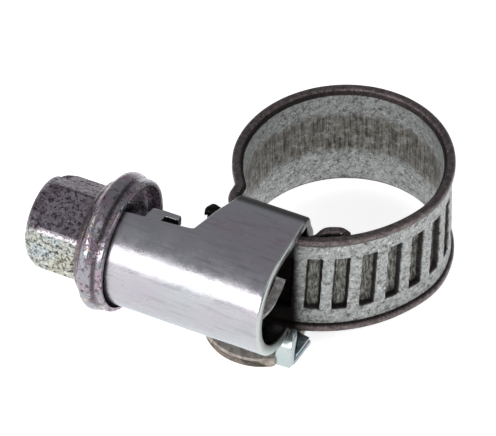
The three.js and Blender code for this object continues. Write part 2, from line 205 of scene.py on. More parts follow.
def ring_point(theta):
    """A point of the strip's middle, by its angle round the ring's centre."""
    d = np.stack([np.cos(theta), np.sin(theta)], -1)
    ellipse = 1 / np.sqrt((d[..., 0] / RING_RX) ** 2 + (d[..., 1] / RING_RY) ** 2)
    b = d @ ARC_CENTRE
    arc = b + np.sqrt(b * b - ARC_CENTRE @ ARC_CENTRE + ARC_MID ** 2)
    w = smoothstep((np.degrees(theta) + 30) / 42)
    return d * (arc * (1 - w) + ellipse * w)[..., None]


def groove_mask(q, z, edge):
    """How far inside a pressed thread a point lies: q counts threads, z is the height."""
    index = np.round(q)
    shake = np.sin(index * 12.9898) * 43758.5453
    shake = shake - np.floor(shake) - 0.5
    du = np.abs((q - index) * PITCH + (z - GROOVE_MID_Z) * THREAD_TILT + 0.05 * shake)
    dz = np.abs(z - GROOVE_MID_Z - 0.1 * shake) - GROOVE_HALF_HEIGHT
    return smoothstep((GROOVE_HALF - du) / edge + .5) * smoothstep(-dz / edge + .5)


def band_rows(path, lengths, side, grooves, tip=None, thin=None, rim=None):
    """The strip's skin along a path, with the fields its material reads.

    grooves is the length at thread 0, then the first and last thread; tip is the length left to
    a rounded end; thin and rim scale the section's thickness and its rolled edges.
    """
    profile = band_profile()
    normal = normals_of(path, side)
    rows, mask, rims, inside, strip, housing_shade, core = [], [], [], [], [], [], []
    # Painted shade: the rolled-edge points next to the flat faces are marked to be painted near black.
    crease_shade = np.zeros(len(profile))
    for i, (height, offset, outer, inner) in enumerate(profile):
        if not outer and not inner and (abs(height) < CREASE_SHADE_HEIGHT or offset < CREASE_SHADE_OFFSET):
            crease_shade[i] = 1
    for i, (p, n, u) in enumerate(zip(path, normal, lengths)):
        z, off = profile[:, 0].copy(), profile[:, 1].copy()
        outer, inner = profile[:, 2], profile[:, 3]
        q = (u - grooves[0]) / PITCH
        live = 1.0 if grooves[1] < q < grooves[2] else 0.0
        g = groove_mask(q, z, GROOVE_EDGE) * live
        soft = groove_mask(q, z, GROOVE_SOFT_EDGE) * live
        raised = GROOVE_LIP * np.clip(soft - g, 0, 1)
        off -= outer * (GROOVE_DEPTH * g - raised) + inner * GROOVE_BULGE * soft
        if thin is not None:
            off *= thin[i]
        if rim is not None:
            bead = (1 - outer) * (1 - inner)
            off -= bead * (1 - rim[i]) * np.sign(off) * np.clip(np.abs(off) - FLAT_RIM, 0, 1)
            z *= FIXED_WIDTH + (1 - FIXED_WIDTH) * rim[i]
        if tip is not None:
            d = tip[i]
            if d < TIP_ROUND:
                drop = TIP_ROUND - math.sqrt(max(TIP_ROUND ** 2 - (TIP_ROUND - d) ** 2, 0))
                z *= (BAND_HALF - drop) / BAND_HALF
        rows.append(np.stack([p[0] + n[0] * off, p[1] + n[1] * off, z], 1))
        mask.append(g * outer)
        core.append(groove_mask(q, z, GROOVE_CORE_EDGE) * live * outer)
        rims.append((1 - outer) * (1 - inner))
        inside.append(inner)
        strip.append(np.stack([np.full_like(z, u), z, crease_shade], 1))
        # Painted shade: the strip is painted darker where it runs through the housing, a little less towards
        # its tip.
        shade_amount = smoothstep((q - SHADE_START) / SHADE_FADE) * (1 - .3 * smoothstep(q - SHADE_THINS))
        housing_shade.append(np.full_like(z, shade_amount * live))
    fields = {"groove": mask, "rim": rims, "inside": inside, "strip": strip, "housing_shade": housing_shade, "core": core}
    return loft(rows), {name: np.concatenate(values) for name, values in fields.items()}


def threaded_end():
    """The grooved strip: the far half of the ring, then the arc through the housing."""
    theta = np.radians(np.linspace(118, -75, 700))
    ring = ring_point(theta)
    last = ring[-1] - ARC_CENTRE
    beta = np.linspace(math.atan2(last[0], -last[1]), math.radians(-27.0), 200)[1:]
    arc = ARC_CENTRE + ARC_MID * np.stack([np.sin(beta), -np.cos(beta)], 1)
    path, lengths = even(np.concatenate([ring, arc]), .075)
    lowest = lengths[np.argmin(path[:, 1])]
    tip = lengths[-1] - lengths
    return band_rows(path, lengths, 1, (lowest, -100, 100), tip=tip)


def fixed_end():
    """The plain strip: the near half of the ring, hooked under the housing's floor."""
    theta = np.radians(np.linspace(118, 196, 40))
    ring = ring_point(theta)
    saddle = [ARC_CENTRE + SADDLE_RADIUS * np.array((math.sin(b), -math.cos(b)))
              for b in (-.19, -.06, .07, .2, .335)]
    turns = [(-6.95, -2.75), (-6.5, -3.7), (-5.95, -4.55), (-5.5, -5.2), (-5.42, -5.8), (-5.36, -6.5),
             (-5.0, -7.2), (-4.55, -7.62)]
    tongue = [(1.32, -7.33), (1.66, -6.98), (2.12, -6.62), (2.72, -6.34), (3.0, -6.28), (3.3, -6.34),
              (3.42, -6.40)]
    path, lengths = along(np.concatenate([ring, turns, saddle, tongue]), .12)
    hooked = smoothstep((-path[:, 1] - 6.7) / 1.0)
    thin = 1 - FIXED_THINNING * hooked
    return band_rows(path, lengths, -1, (0, 1e6, 1e6), thin=thin, rim=1 - hooked)


# ---------------------------------------------------------------- the housing

SHEET = 0.85
FLOOR_Y = -6.85
FOLD = 0.9
WING_Z = 5.55
EDGE_ROUND = 0.16
LEFT, RIGHT = -11.9, 0.81
BARREL_EDGE_Y = -11.8


def housing_path():
    """The middle of the housing's sheet: apron, floor, wing, then the barrel round the screw."""
    mid = SHEET / 2
    points = [(-12.86, -WING_Z + mid), (-7.9, -WING_Z + mid)]
    bend = FOLD - mid
    y0, z0 = FLOOR_Y - FOLD, WING_Z - FOLD
    for a in np.linspace(-90, 0, 10):
        points.append((y0 + bend * math.cos(math.radians(a)), -z0 + bend * math.sin(math.radians(a))))
    for a in np.linspace(0, 90, 10):
        points.append((y0 + bend * math.cos(math.radians(a)), z0 + bend * math.sin(math.radians(a))))
    radius = 4.3 - mid
    dy, dz = y0 - SCREW_AXIS[0], WING_Z - mid - SCREW_AXIS[1]
    start = math.atan2(dz, dy) + math.acos(radius / math.hypot(dy, dz))
    for a in np.linspace(start, math.radians(281), 88):
        points.append((SCREW_AXIS[0] + radius * math.cos(a), SCREW_AXIS[1] + radius * math.sin(a)))
    return even(np.array(points), .11)


def housing_rows():
    """The housing's skin, with fields for its cut edges, its apron and the painted shade on its floor, its
    fold and its barrel's inner face.
    """
    path, lengths = housing_path()
    normal = normals_of(path, -1)
    total = lengths[-1]
    barrel_at = lengths[np.argmax((path[:, 1] > 4) & (path[:, 0] < BARREL_EDGE_Y))]
    rows, cut, apron, bore = [], [], [], []
    for (y, z), (ny, nz), s in zip(path, normal, lengths):
        round_off = min(s, total - s)
        half = SHEET / 2
        if round_off < EDGE_ROUND:
            half -= EDGE_ROUND - math.sqrt(max(EDGE_ROUND ** 2 - (EDGE_ROUND - round_off) ** 2, 0))
        on_floor = abs(z) < 4.62 and y > -8 and s < barrel_at
        k = smoothstep((4.7 - abs(z)) / .2) if on_floor else 0.0
        wing_left = np.interp(y, [-11.9, -10.9, -9.15, -7.9, -6.8], [-6.3, -5.95, -5.35, -4.75, -4.42])
        if z < 0 and s < barrel_at:
            wing_left = np.interp(y, [-12.9, -11.64, -6.8], [-5.5, -5.5, -4.95])
        left = wing_left * (1 - k) - 4.1 * k
        right = RIGHT
        if s >= barrel_at - .3:
            step = smoothstep((s - barrel_at + .3) / .6)
            left = left * (1 - step) + LEFT * step if s < barrel_at + .3 else LEFT
        if z < -3 and s < barrel_at:
            right = np.interp(y, [-12.9, -11.4, -10.9], [.3, .31, RIGHT])
        x, off = sheet_section(left, right, half)
        yy = np.full_like(x, y) + ny * off
        zz = np.full_like(x, z) + nz * off
        if s < barrel_at and z < -4:
            across = np.clip((x - left) / (right - left), 0, 1)
            front = -12.86 + 1.15 * np.abs(2 * across - 1.1) ** 2.2
            grow = np.clip((y + 7.9) / (-12.86 + 7.9), 0, 1)
            yy += (front + 12.86) * grow
        fold_near = smoothstep((y + 8.6) / 1.0) * smoothstep((4.7 - abs(z)) / 1.4) if s < barrel_at else 0.0
        yy += .42 * fold_near * np.clip((x + 2.3) / 3.1, -1, 1) ** 2
        rows.append(np.stack([x, yy, zz], 1))
        at_side = 1 - smoothstep((np.minimum(x - left, right - x) - .5 * EDGE_ROUND) / (.6 * EDGE_ROUND))
        in_fold = smoothstep((y - FLOOR_Y + FOLD + .35) / .4) if z > 4 and s < barrel_at else 0.0
        seen = 0.0 if on_floor else 1 - in_fold
        at_end = 1 - smoothstep((round_off - .4 * EDGE_ROUND) / (.6 * EDGE_ROUND))
        cut.append(seen * np.maximum(at_side, at_end))
        apron.append(np.full_like(x, 1.0 if z < -4 and y < -8.2 and s < barrel_at else 0.0))
        # Painted shade: the floor and the fold are painted near black, and so is the inner face of the
        # barrel.
        shade = .95 if on_floor else .95 * in_fold
        inside_face = np.where(off < -.3 * half, 1.0, 0.0) * (s > barrel_at - 2.5)
        bore.append(np.maximum(inside_face, shade))
    return loft(rows), np.concatenate(cut), np.concatenate(apron), np.concatenate(bore)


def sheet_section(left, right, half, columns=44, corner=5):
    """A rounded flat bar's outline, as positions across it and offsets from its middle."""
    r = min(EDGE_ROUND, half)
    x, off = [], []
    inner = np.linspace(left + r, right - r, columns)
    for cx, angles in ((right - r, (90, 0)), (right - r, (0, -90))):
        for a in np.radians(np.linspace(*angles, corner)):
            x.append(cx + r * math.cos(a))
            off.append((half - r) * (1 if angles[0] == 90 else -1) + r * math.sin(a))
    side_x, side_off = list(inner), [half] * columns
    right_x, right_off = x, off
    left_x = [left + right - v for v in x[::-1]]
    left_off = off[::-1]
    back_x, back_off = list(inner[::-1]), [-half] * columns
    return (np.array(side_x[:-1] + right_x + back_x[1:-1] + left_x),
            np.array(side_off[:-1] + right_off + back_off[1:-1] + left_off))


def rounded_block(centre_rows):
    """A small sheet piece: a skin through rounded rectangles given as (corner points, radius)."""
    rows = []
    for corners, r in centre_rows:
        corners = [np.array(c, float) for c in corners]
        ring = []
        for i in range(4):
            before, here, after = corners[i - 1], corners[i], corners[(i + 1) % 4]
            a = (before - here) / np.linalg.norm(before - here)
            b = (after - here) / np.linalg.norm(after - here)
            for t in np.linspace(0, 1, 5):
                ring.append(here + a * r * (1 - t) ** 2 + b * r * t ** 2)
        rows.append(ring)
    return loft(rows)


def block(corners_low, corners_high, r=.12, ends=3):
    """A rounded block between two four-cornered faces."""
    low, high = np.array(corners_low, float), np.array(corners_high, float)
    rows = []
    span = np.linalg.norm((high - low).mean(0))
    for t in list(np.linspace(0, r, ends + 1)) + list(np.linspace(span - r, span, ends + 1)):
        d = min(t, span - t)
        inset = r - math.sqrt(max(r * r - (r - min(d, r)) ** 2, 0))
        ring = low + (high - low) * (t / span)
        middle = ring.mean(0)
        reach = np.linalg.norm(ring - middle, axis=1)[:, None]
        ring = middle + (ring - middle) * (1 - inset / reach)
        rows.append((ring, r))
    return rounded_block(rows)


# The locking ear, from its foot up: height, front face, left side, right side.
EAR = [(-5.52, -11.66, .30, 1.30), (-5.44, -11.74, .22, 1.38), (-5.0, -11.78, .2, 1.44),
       (-4.6, -11.76, .22, 1.46), (-4.2, -11.7, .28, 1.46), (-3.8, -11.58, .42, 1.46),
       (-3.5, -11.42, .62, 1.45), (-3.25, -11.25, .76, 1.42), (-3.08, -11.08, .83, 1.36),
       (-2.96, -10.92, .85, 1.28), (-2.88, -10.8, .9, 1.15)]
EAR_X, EAR_REACH, EAR_BACK_Y = 0.83, 0.64, -10.7


def small_sheet_parts():
    """The tab and its arm behind the collar, the locking ear, and the apron's two leaves."""
    tab = block([(-9.95, -12.3, 4.3), (-8.7, -12.3, 4.3), (-8.7, -12.3, 5.12), (-9.95, -12.3, 5.12)],
                [(-9.85, -10.7, 4.1), (-8.6, -10.6, 4.1), (-8.6, -10.55, 4.92), (-9.85, -10.65, 4.92)])
    arm = block([(-9.2, -11.15, 4.12), (-9.2, -10.6, 4.12), (-9.2, -10.55, 4.95), (-9.2, -11.1, 4.95)],
                [(-7.66, -11.0, 3.95), (-7.66, -10.5, 3.95), (-7.64, -10.45, 4.85), (-7.64, -10.95, 4.85)])
    ear = rounded_block([([(x0, y, z), (x1, y + .06, z), (x1 + .08, y + .55, z), (x0, y + .55, z)], .06)
                         for z, y, x0, x1 in EAR])
    low_leaf = block([(.5, -11.3, -5.53), (1.5, -11.2, -5.53), (1.62, -8.7, -5.53), (.5, -8.6, -5.53)],
                     [(.5, -11.3, -5.15), (1.5, -11.2, -5.15), (1.62, -8.7, -5.15), (.5, -8.6, -5.15)], r=.1)
    top_leaf = block([(.5, -10.9, -4.98), (1.5, -10.9, -4.98), (1.6, -8.9, -4.98), (.5, -8.7, -4.98)],
                     [(.5, -10.9, -4.68), (1.6, -10.85, -4.6), (1.66, -8.95, -4.6), (.5, -8.7, -4.68)], r=.1)
    return tab, arm, ear, low_leaf, top_leaf


# ---------------------------------------------------------------- the screw

def round_screw(x, radius, angles):
    """Points at one place along the screw, by radius and angle round its axis."""
    return np.stack([np.full_like(angles, x), SCREW_AXIS[0] - radius * np.cos(angles),
                     SCREW_AXIS[1] + radius * np.sin(angles)], 1)


def turned(profile, wobble, segments=144):
    """A turned piece from (place, radius) points, very slightly out of round."""
    a = np.linspace(0, 2 * math.pi, segments, endpoint=False)
    rows = []
    for x, r in profile:
        rows.append(round_screw(x, r * (1 + wobble * np.sin(3 * a + 1) + wobble * np.sin(5 * a + x)), a))
    return loft(rows)


def bead(x, radius, r, start, end, count=14):
    """A rounded stretch of a turned profile: an arc of radius r from one angle to another."""
    angles = np.radians(np.linspace(start, end, count))
    return [(x + r * math.sin(a), radius + r * math.cos(a)) for a in angles]


def collar_profile():
    """Front face, bead, shallow dip, rear lip, cup, then the neck and the worm's core."""
    points = [(-13.5, .05), (-13.7, 2.6), (-13.86, 3.3), (-13.93, 3.7), (-13.94, 3.95), (-13.9, 4.12),
              (-13.78, 4.24), (-13.62, 4.31), (-13.48, 4.4), (-13.36, 4.52)]
    points += bead(-12.66, 4.58, .6, -66, 30)
    points += [(-12.26, 5.07), (-12.12, 5.01), (-12.02, 4.97), (-11.92, 4.965), (-11.8, 4.98),
               (-11.68, 4.96)]
    points += bead(-11.52, 4.72, .23, -10, 110, 9)
    points += [(-11.3, 4.6), (-11.4, 4.57), (-11.9, 4.56), (-12.42, 4.54), (-12.46, 4.4), (-12.46, 3.1),
               (-12.4, 2.88), (-12.2, 2.8), (-10.5, 2.8), (-10.38, 2.74), (-10.3, 2.64), (-9.75, 2.06),
               (-9.6, 1.97),
               (-9.4, 1.95), (-1.5, 1.95), (-1.4, 1.93), (-1.05, 1.62), (-1, 1.5), (-1, .05)]
    return points


OUT_OF_ROUND = 0.0015
SLOT_FLOOR, SLOT_WIDTH, SLOT_TURN = -17.4, 1.0, math.radians(-44)
HEX_FLATS = 6.35
HEX_END = -18.5
CORNER_CUT = 0.02
EASE_START = 0.16
EASE_SHARPNESS = 22
CHAMFER_SHARPNESS = 14


def hex_head():
    """A hexagon with softened corners, cut back to a cone at its end."""
    a = np.radians(np.arange(0, 360, 2.5))
    folded = np.radians(np.abs((np.degrees(a) + 30) % 60 - 30))
    hexagon = HEX_FLATS / 2 / np.cos(folded)
    corner = HEX_FLATS / 2 / math.cos(math.radians(30))
    eased = np.log1p(np.exp((corner - EASE_START - hexagon) * EASE_SHARPNESS)) / EASE_SHARPNESS
    hexagon = np.minimum(hexagon, corner - CORNER_CUT - eased)
    rows = []
    stations = [(HEX_END, 2.72), (-18.48, 2.86), (-18.42, 2.98), (-18.3, 3.13), (-18.1, 3.28),
                (-17.9, 3.42), (-17.7, 3.54), (-17.5, 3.65), (-17.3, 3.77), (-17.1, 3.9)]
    stations += [(x, 4.2) for x in np.linspace(-16.9, -13.75, 16)]
    for x, r in ((HEX_END + .06, .02), (HEX_END + .06, 1.0), (HEX_END + .06, 1.9), (HEX_END, 2.4)):
        rows.append(round_screw(x, r, a))
    for x, cap in stations:
        both = np.exp(-hexagon * CHAMFER_SHARPNESS) + np.exp(-cap * CHAMFER_SHARPNESS)
        rows.append(round_screw(x, -np.log(both) / CHAMFER_SHARPNESS, a))
    return loft(rows)


def thread_shell():
    """The worm's ridge, in step with the grooves, fading into the core at both ends."""
    per_turn, turns, start = 60, 3.2, -6.6
    lead, root, crest = 1.95, 1.9, 2.42
    foot = root - .1
    section = [(-.38, foot), (-.34, root), (-.24, crest - .12), (-.17, crest - .02), (0, crest),
               (.17, crest - .02), (.24, crest - .12), (.34, root), (.38, foot)]
    rows = []
    steps = int(per_turn * turns)
    for i in range(steps + 1):
        turn = 2 * math.pi * i / per_turn
        x = start + lead * i / per_turn
        angle = turn + (start - ARC_CENTRE[0]) / lead * 2 * math.pi
        grow = smoothstep(min(i, steps - i) / 12)
        ridge = []
        for dx, r in section:
            reach = foot + (r - foot) * grow
            ridge.append((x + dx, SCREW_AXIS[0] + reach * math.cos(angle),
                          SCREW_AXIS[1] + reach * math.sin(angle)))
        rows.append(ridge)
    return loft(rows)


def cut_slot(obj, floor, size, turn):
    """Take a slot out of the screw's end, down to x = floor.

    It crosses the screw's axis, turned about it from the direction of the ring's axis.
    """
    bpy.ops.mesh.primitive_cube_add(size=1)
    cutter = bpy.context.object
    cutter.location = to_row((floor - size[0] / 2, *SCREW_AXIS))
    cutter.scale = Vector(size) * MM
    cutter.rotation_euler = (turn, 0, 0)
    modifier = obj.modifiers.new("slot", "BOOLEAN")
    modifier.operation = "DIFFERENCE"
    modifier.solver = "EXACT"
    modifier.object = cutter
    bpy.context.view_layer.objects.active = obj
    bpy.context.view_layer.update()
    depsgraph = bpy.context.evaluated_depsgraph_get()
    cut = bpy.data.meshes.new_from_object(obj.evaluated_get(depsgraph))
    obj.modifiers.remove(modifier)
    obj.data = cut
    bpy.data.objects.remove(cutter)


# ---------------------------------------------------------------- materials

class Surface:
    """A small helper round one material's node tree."""

    def __init__(self, name):
        self.material = bpy.data.materials.new(name)
        self.material.use_nodes = True
        self.tree = self.material.node_tree
        self.tree.nodes.clear()
        coords = self.add("ShaderNodeTexCoord")
        scale = self.add("ShaderNodeVectorMath", operation="SCALE")
        self.tree.links.new(coords.outputs["Object"], scale.inputs[0])
        scale.inputs["Scale"].default_value = 1 / MM
        self.mm = scale.outputs["Vector"]

    def add(self, kind, inputs=None, **settings):
        node = self.tree.nodes.new(kind)
        for key, value in settings.items():
            setattr(node, key, value)
        for key, value in (inputs or {}).items():
            self.put(node.inputs[key], value)
        return node

    def put(self, socket, value):
        if isinstance(value, bpy.types.NodeSocket):
            self.tree.links.new(value, socket)
        elif isinstance(value, tuple) and len(value) == 3 and socket.type == "RGBA":
            socket.default_value = (*value, 1)
        else:
            socket.default_value = value

    def noise(self, scale, detail=4.0, rough=.55, distortion=0.0, at=None, offset=None):
        at = at or self.mm
        if offset:
            at = self.add("ShaderNodeVectorMath", {0: at, 1: offset}, operation="ADD").outputs[0]
        node = self.add("ShaderNodeTexNoise", {"Vector": at, "Scale": scale, "Detail": detail,
                                               "Roughness": rough, "Distortion": distortion})
        return node.outputs["Fac"]

    def cells(self, scale, at):
        return self.add("ShaderNodeTexVoronoi", {"Vector": at, "Scale": scale}).outputs["Color"]

    def ramp(self, value, low, high, start=0.0, end=1.0):
        limits = {"Value": value, "From Min": low, "From Max": high, "To Min": start, "To Max": end}
        node = self.add("ShaderNodeMapRange", limits, interpolation_type="SMOOTHSTEP")
        return node.outputs["Result"]

    def math(self, operation, a, b=0.0):
        node = self.add("ShaderNodeMath", {0: a, 1: b}, operation=operation)
        return node.outputs[0]

    def mix(self, amount, a, b):
        node = self.add("ShaderNodeMix", data_type="RGBA")
        self.put(node.inputs["Factor"], amount)
        self.put([s for s in node.inputs if s.name == "A" and s.type == "RGBA"][0], a)
        self.put([s for s in node.inputs if s.name == "B" and s.type == "RGBA"][0], b)
        return [s for s in node.outputs if s.type == "RGBA"][0]

    def field(self, name, out="Fac"):
        return self.add("ShaderNodeAttribute", attribute_name=name).outputs[out]

    def axis(self, vector, name):
        return self.add("ShaderNodeSeparateXYZ", {0: vector}).outputs[name]

    def finish(self, colour, rough, height, depth=.02, metal=1.0, more=None):
        bump = self.add("ShaderNodeBump", {"Height": height, "Distance": depth * MM, "Strength": 1.0})
        shader = self.add("ShaderNodeBsdfPrincipled", {"Base Color": colour, "Roughness": rough,
                                                       "Metallic": metal, "Normal": bump.outputs[0]})
        for key, value in (more or {}).items():
            self.put(shader.inputs[key], value)
        self.add("ShaderNodeOutputMaterial", {"Surface": shader.outputs[0]})
        return self.material


def row_x(x):
    """A place along the screw, in the millimetres that the materials read."""
    return x + RING_CENTRE[0]


def housing_material():
    s = Surface("housing_zinc")
    cloud = s.ramp(s.noise(.16, 3, .5), .35, .65)
    tint = s.ramp(s.noise(.2, 3, .5, offset=(9, 3, 1)), .4, .65)
    colour = s.mix(cloud, (.425, .405, .44), (.445, .445, .46))
    colour = s.mix(s.math("MULTIPLY", tint, .5), colour, (.395, .44, .445))
    # Painted reflection: the lower part of the housing is tinted bluish teal, standing in for the floor's
    # reflection.
    wander = s.math("MULTIPLY", s.noise(.45, 5, .6, offset=(2, 7, 7)), 2.6)
    low = s.ramp(s.math("ADD", s.axis(s.mm, "Z"), wander), 4.2, 6.6, 1, 0)
    teal = s.mix(s.ramp(s.noise(.35, 4, .6, offset=(6, 1, 1)), .4, .62), (.29, .41, .45), (.39, .42, .47))
    colour = s.mix(s.math("MULTIPLY", low, .9), colour, teal)
    y = s.axis(s.mm, "Y")
    # Painted highlight: a pinkish band along the bend where the wing meets the barrel.
    valley_highlight = s.math("MULTIPLY", s.ramp(y, -7.6, -6.4), s.ramp(y, -5.6, -4.4, 1, 0))
    rosy = s.ramp(s.noise(.9, 5, .7, offset=(4, 6, 3)), .45, .65)
    colour = s.mix(s.math("MULTIPLY", s.math("MULTIPLY", valley_highlight, rosy), .45), colour, (.42, .30, .33))
    rolled_at = s.add("ShaderNodeVectorMath", {0: s.mm, 1: (.12, 1.6, 1.6)}, operation="MULTIPLY").outputs[0]
    rolled = s.noise(2.4, 5, .6, at=rolled_at)
    colour = s.mix(s.ramp(rolled, .48, .72, 0, .5), colour, (.27, .26, .29))
    smudge = s.ramp(s.noise(1.3, 6, .7, .4, offset=(3, 8, 2)), .58, .74)
    colour = s.mix(s.math("MULTIPLY", smudge, .38), colour, (.22, .21, .23))
    specks = s.ramp(s.noise(7.5, 2, .5, offset=(1, 4, 7)), .70, .77)
    colour = s.mix(s.math("MULTIPLY", specks, .6), colour, (.09, .08, .09))
    bright = s.ramp(s.noise(4.2, 5, .6, offset=(5, 5, 5)), .62, .75)
    colour = s.mix(s.math("MULTIPLY", bright, .3), colour, (.68, .70, .69))
    cut, apron = s.field("cut"), s.field("apron")
    # Cut edges are a lighter zinc; the same light colour on the ear's and leaves' front faces is a painted
    # highlight.
    colour = s.mix(s.math("MULTIPLY", cut, .7), colour, (.50, .56, .52))
    earth = s.mix(s.ramp(s.noise(3.0, 6, .7, .2), .38, .62), (.22, .18, .145), (.46, .395, .33))
    colour = s.mix(s.math("MULTIPLY", apron, .9), colour, earth)
    # Painted shade: near black on the floor, the fold and the barrel's inner face.
    colour = s.mix(s.math("MULTIPLY", s.field("bore"), .9), colour, (.045, .042, .036))
    rough = s.ramp(s.noise(.9, 5, .6, offset=(2, 2, 9)), .3, .7, .22, .32)
    rough = s.math("ADD", rough, s.math("MULTIPLY", specks, .2))
    rough = s.math("ADD", rough, s.math("MULTIPLY", apron, .45))
    grain = s.math("ADD", s.noise(9, 5, .65), s.math("MULTIPLY", rolled, .8))
    dents = s.noise(.8, 3, .5, offset=(7, 1, 3))
    height = s.math("ADD", s.math("MULTIPLY", grain, .25), s.math("MULTIPLY", dents, 1.0))
    metal = s.ramp(apron, 0, 1, 1.0, 0)
    return s.finish(colour, rough, height, .022, metal=metal)


def hex_material():
    s = Surface("head_zinc_worn_painted_facet_light")
    x, y, z = (s.axis(s.mm, name) for name in "XYZ")
    turn = s.math("ARCTAN2", s.math("SUBTRACT", z, SCREW_AXIS[1] + RING_CENTRE[2]),
                  s.math("SUBTRACT", SCREW_AXIS[0] + RING_CENTRE[1], y))
    ragged = s.math("ADD", turn, s.math("MULTIPLY", s.noise(2.5, 6, .7), .09))
    # Painted light and shade: the front and lower facets are painted light yellow-green to cyan, the facets
    # above dark purple-brown, lit and shaded copies of one plating.
    front = s.ramp(ragged, .54, .60, 1, 0)
    shaded_upper_facets = s.mix(s.ramp(s.noise(.6, 4, .6), .35, .65), (.15, .115, .14), (.215, .19, .215))
    teal = s.ramp(s.noise(2.6, 8, .8, .4, offset=(2, 9, 2)), .50, .60)
    shaded_upper_facets = s.mix(s.math("MULTIPLY", teal, .55), shaded_upper_facets, (.27, .30, .31))
    flat = s.mix(s.ramp(s.noise(.55, 4, .6, offset=(1, 1, 6)), .35, .65), (.47, .47, .38), (.42, .48, .50))
    worn = s.ramp(s.noise(3.2, 8, .8, .4, offset=(4, 1, 2)), .50, .58)
    flat = s.mix(s.math("MULTIPLY", worn, .7), flat, (.72, .74, .66))
    colour = s.mix(front, shaded_upper_facets, flat)
    pits = s.ramp(s.noise(3.4, 9, .84, .3, offset=(8, 8, 1)), .51, .57)
    colour = s.mix(s.math("MULTIPLY", pits, .9), colour, (.025, .018, .025))
    ridge = s.math("MULTIPLY", s.ramp(turn, .47, .52), s.ramp(turn, .56, .63, 1, 0))
    near_collar = s.ramp(s.math("ADD", x, s.math("MULTIPLY", s.noise(1.6, 6, .7), 2.5)), -11.3, -9.9)
    glint = s.math("MULTIPLY", ridge, near_collar)
    colour = s.mix(s.math("MULTIPLY", glint, .9), colour, (.97, .90, .95))
    rough = s.math("SUBTRACT", s.ramp(pits, 0, 1, .36, .62), s.math("MULTIPLY", glint, .12))
    height = s.math("SUBTRACT", s.noise(5.5, 6, .7), s.math("MULTIPLY", pits, .8))
    return s.finish(colour, rough, height, .05)


def collar_material():
    s = Surface("collar_zinc_iridescent")
    x = s.axis(s.mm, "X")
    front = s.ramp(x, row_x(-13.25), row_x(-12.95), 1, 0)
    hue = s.ramp(s.noise(.8, 4, .6), .35, .65)
    bead_tone = s.mix(hue, (.34, .26, .32), (.30, .32, .34))
    bead_tone = s.mix(s.ramp(s.noise(1.6, 4, .6, offset=(3, 0, 6)), .55, .7), bead_tone, (.52, .45, .38))
    stains = s.ramp(s.noise(2.6, 8, .78, .5, offset=(6, 2, 8)), .50, .60)
    bead_tone = s.mix(s.math("MULTIPLY", stains, .85), bead_tone, (.06, .04, .045))
    brown = s.mix(s.ramp(s.noise(2.4, 6, .7), .4, .65), (.07, .05, .047), (.20, .16, .16))
    colour = s.mix(s.math("MULTIPLY", front, .8), bead_tone, brown)
    # Painted shade: the dip between the bead and the rear lip is painted near black.
    before_lip = s.ramp(x, row_x(-11.85), row_x(-11.65), 1, 0)
    groove = s.math("MULTIPLY", s.ramp(x, row_x(-12.2), row_x(-12.0)), before_lip)
    colour = s.mix(s.math("MULTIPLY", groove, .85), colour, (.045, .035, .04))
    # Painted shade: the back of the rear lip, the neck and the worm's core inside the barrel are painted
    # near black.
    back = s.ramp(x, row_x(-11.2), row_x(-10.9))
    colour = s.mix(s.math("MULTIPLY", back, .9), colour, (.03, .028, .028))
    rough = s.math("ADD", s.ramp(s.noise(1.4, 5, .6), .3, .7, .12, .22), s.math("MULTIPLY", stains, .25))
    height = s.math("SUBTRACT", s.noise(2.2, 5, .6), s.math("MULTIPLY", stains, .4))
    return s.finish(colour, rough, height, .014)


def thread_material():
    s = Surface("thread_zinc_painted_light")
    # Painted light: a near-white base colour, so the ridge shows bright inside the shaded barrel.
    colour = s.mix(s.ramp(s.noise(1.9, 7, .7), .42, .62), (.55, .53, .50), (.95, .96, .95))
    return s.finish(colour, .45, s.noise(4, 5, .6), .02, metal=.35)


